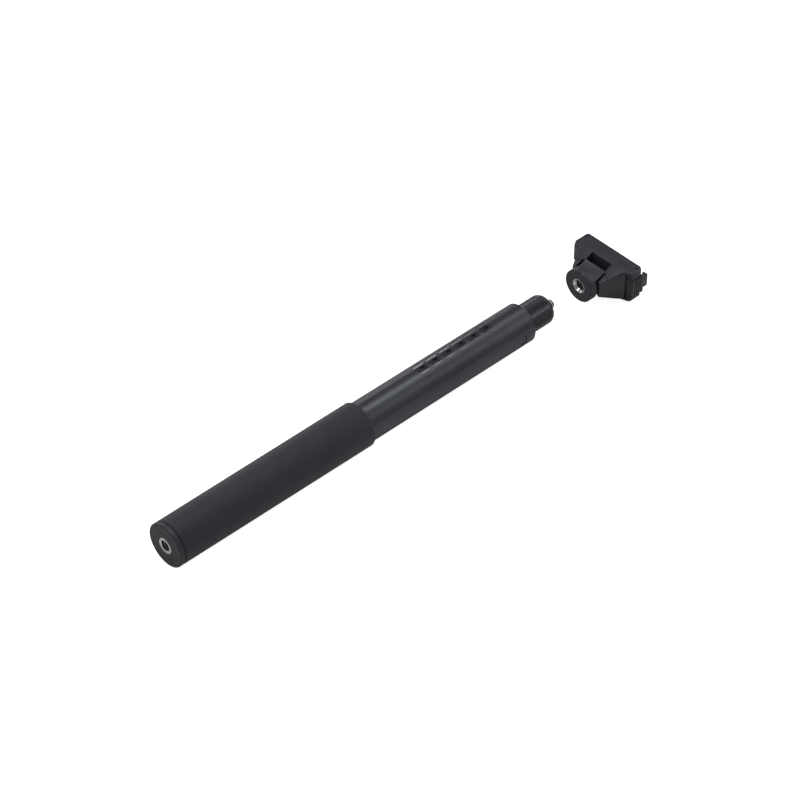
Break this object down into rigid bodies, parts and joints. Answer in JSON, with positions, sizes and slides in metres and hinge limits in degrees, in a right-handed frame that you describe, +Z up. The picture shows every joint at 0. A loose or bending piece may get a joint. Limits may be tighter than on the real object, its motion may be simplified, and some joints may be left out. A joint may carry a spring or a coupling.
{
  "type": "selfie stick",
  "caption": "Telescopic selfie stick with a rubber grip, a knurled camera-screw head, a tripod socket in its base and a detachable quick-release camera adapter with side levers.",
  "frame": {"origin": "centre of the tripod socket's mouth in the flat end of the base, on the rod's axis", "axes": "+X along the rod from the base to the head, +Z up as it lies on a table, +Y to the left when looking along +X"},
  "size_m": [0.3603, 0.05, 0.0286],
  "materials": {
    "cap_plastic": "fine moulded texture, dark grey",
    "grip_rubber": "matte, smooth",
    "bumper_rubber": "matte",
    "pad_rubber": "matte",
    "tube_anodised": "satin anodised, charcoal",
    "section_anodised": "satin anodised, charcoal",
    "wheel_anodised": "knurled, anodised black",
    "ferrule_aluminium": "turned",
    "bright_steel": "machined, bright",
    "spring_steel": "bright zinc",
    "magnet_nickel": "nickel plated",
    "bush_acetal": "natural acetal",
    "ring_bronze": "rolled phosphor bronze",
    "adapter_plastic": "fine moulded texture, dark grey",
    "lever_plastic": "fine moulded texture, dark grey"
  },
  "bodies": {
    "handle": {"outer_tube": "tube_anodised", "grip_sleeve": "grip_rubber", "base_cap": "cap_plastic", "tripod_socket_insert": "bright_steel", "end_bumper": "bumper_rubber"},
    "section_2": {"section_2_tube": "section_anodised", "section_2_bush": "bush_acetal", "section_2_friction_ring": "ring_bronze"},
    "section_3": {"section_3_tube": "section_anodised", "section_3_bush": "bush_acetal", "section_3_friction_ring": "ring_bronze"},
    "section_4": {"section_4_tube": "section_anodised", "section_4_bush": "bush_acetal", "section_4_friction_ring": "ring_bronze"},
    "section_5": {"section_5_tube": "section_anodised", "section_5_bush": "bush_acetal", "section_5_friction_ring": "ring_bronze"},
    "section_6": {"section_6_tube": "section_anodised", "section_6_bush": "bush_acetal", "section_6_friction_ring": "ring_bronze"},
    "section_7": {"section_7_tube": "section_anodised", "section_7_bush": "bush_acetal", "section_7_friction_ring": "ring_bronze", "head_ferrule": "ferrule_aluminium"},
    "thumbwheel": {"knurled_wheel": "wheel_anodised", "camera_stud": "bright_steel", "stud_clip": "spring_steel", "spring_washer": "spring_steel"},
    "adapter": {"adapter_body": "adapter_plastic", "front_cover": "adapter_plastic", "seat_pad": "pad_rubber", "boss_ring": "pad_rubber", "adapter_insert": "bright_steel", "cover_screws": "spring_steel", "seat_magnet_left": "magnet_nickel", "seat_magnet_right": "magnet_nickel", "lever_pin_left": "spring_steel", "lever_pin_right": "spring_steel", "lever_spring_left": "spring_steel", "lever_spring_right": "spring_steel"},
    "lever_left": {"release_lever_left": "lever_plastic"},
    "lever_right": {"release_lever_right": "lever_plastic"}
  },
  "joints": [
    {"name": "section_2_slide", "type": "slide", "parent": "handle", "child": "section_2", "axis": [1, 0, 0], "range_m": [0, 0.2]},
    {"name": "section_3_slide", "type": "slide", "parent": "section_2", "child": "section_3", "axis": [1, 0, 0], "range_m": [0, 0.2]},
    {"name": "section_4_slide", "type": "slide", "parent": "section_3", "child": "section_4", "axis": [1, 0, 0], "range_m": [0, 0.2]},
    {"name": "section_5_slide", "type": "slide", "parent": "section_4", "child": "section_5", "axis": [1, 0, 0], "range_m": [0, 0.2]},
    {"name": "section_6_slide", "type": "slide", "parent": "section_5", "child": "section_6", "axis": [1, 0, 0], "range_m": [0, 0.2]},
    {"name": "section_7_slide", "type": "slide", "parent": "section_6", "child": "section_7", "axis": [1, 0, 0], "range_m": [0, 0.2]},
    {"name": "thumbwheel_turn", "type": "hinge", "parent": "section_7", "child": "thumbwheel", "pos_m": [0.2859, 0, 0], "axis": [1, 0, 0], "continuous": true},
    {"name": "adapter_fit", "type": "slide", "parent": "section_7", "child": "adapter", "axis": [1, 0, 0], "range_m": [-0.0291, 0]},
    {"name": "lever_left_press", "type": "hinge", "parent": "adapter", "child": "lever_left", "pos_m": [0.3523, 0.0214, 0], "axis": [0, 0, 1], "range_deg": [0, 4], "stiffness_Nm_per_rad": 0.25, "springref_deg": -5.73},
    {"name": "lever_right_press", "type": "hinge", "parent": "adapter", "child": "lever_right", "pos_m": [0.3523, -0.0214, 0], "axis": [0, 0, -1], "range_deg": [0, 4], "stiffness_Nm_per_rad": 0.25, "springref_deg": -5.73}
  ]
}
